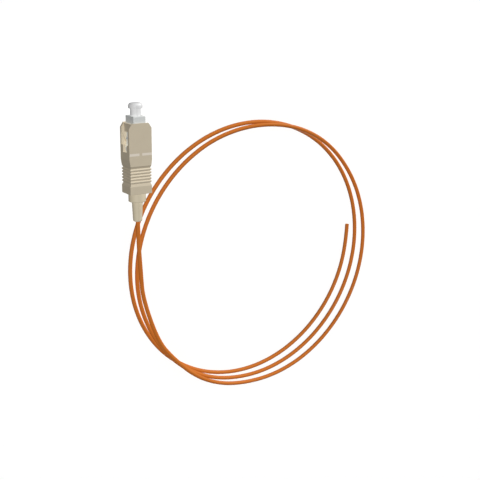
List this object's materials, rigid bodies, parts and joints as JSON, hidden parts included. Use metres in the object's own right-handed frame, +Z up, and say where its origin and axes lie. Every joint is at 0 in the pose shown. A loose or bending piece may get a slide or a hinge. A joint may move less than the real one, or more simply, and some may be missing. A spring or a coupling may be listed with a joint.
{
  "type": "fibre optic pigtail",
  "caption": "Fibre optic pigtail: a push-pull plug with a sprung ceramic ferrule and dust cap on one end of an orange cord laid in loose turns, its other end plain for splicing.",
  "frame": {"origin": "under the middle of the plug, on the surface that the plug and the cord lie on", "axes": "+Y along the plug's axis towards its dust cap, +Z up, away from the keyed wide face that it lies on"},
  "size_m": [0.1158, 0.1207, 0.0082],
  "materials": {
    "beige_plastic": "moulded beige plastic, satin",
    "beige_boot": "moulded flexible beige plastic, satin",
    "grey_plastic": "moulded light grey plastic, satin",
    "cap_plastic": "moulded pale grey plastic, smooth",
    "zirconia": "polished white ceramic",
    "plated_metal": "nickel-plated brass, turned",
    "spring_steel": "drawn stainless wire",
    "crimp_metal": "plain drawn tube",
    "buffer_plastic": "white buffer",
    "orange_jacket": "smooth orange jacket"
  },
  "bodies": {
    "plug": {"plug_frame": "grey_plastic", "rear_body": "plated_metal", "crimp_ring": "crimp_metal", "boot": "beige_boot", "cord": "orange_jacket", "ferrule_spring": "spring_steel"},
    "grip": {"grip_housing": "beige_plastic"},
    "ferrule_unit": {"ferrule": "zirconia", "ferrule_flange": "plated_metal", "buffered_fibre": "buffer_plastic"},
    "cap": {"dust_cap": "cap_plastic"}
  },
  "joints": [
    {"name": "grip_slide", "type": "slide", "parent": "plug", "child": "grip", "axis": [0, 1, 0], "range_m": [0, 0.0016]},
    {"name": "ferrule_retract", "type": "slide", "parent": "plug", "child": "ferrule_unit", "axis": [0, -1, 0], "range_m": [0, 0.001], "stiffness_N_per_m": 2500, "springref_m": -0.0028, "deforming": ["ferrule_spring"]},
    {"name": "cap_pull", "type": "slide", "parent": "ferrule_unit", "child": "cap", "axis": [0, 1, 0], "range_m": [0, 0.008]}
  ]
}
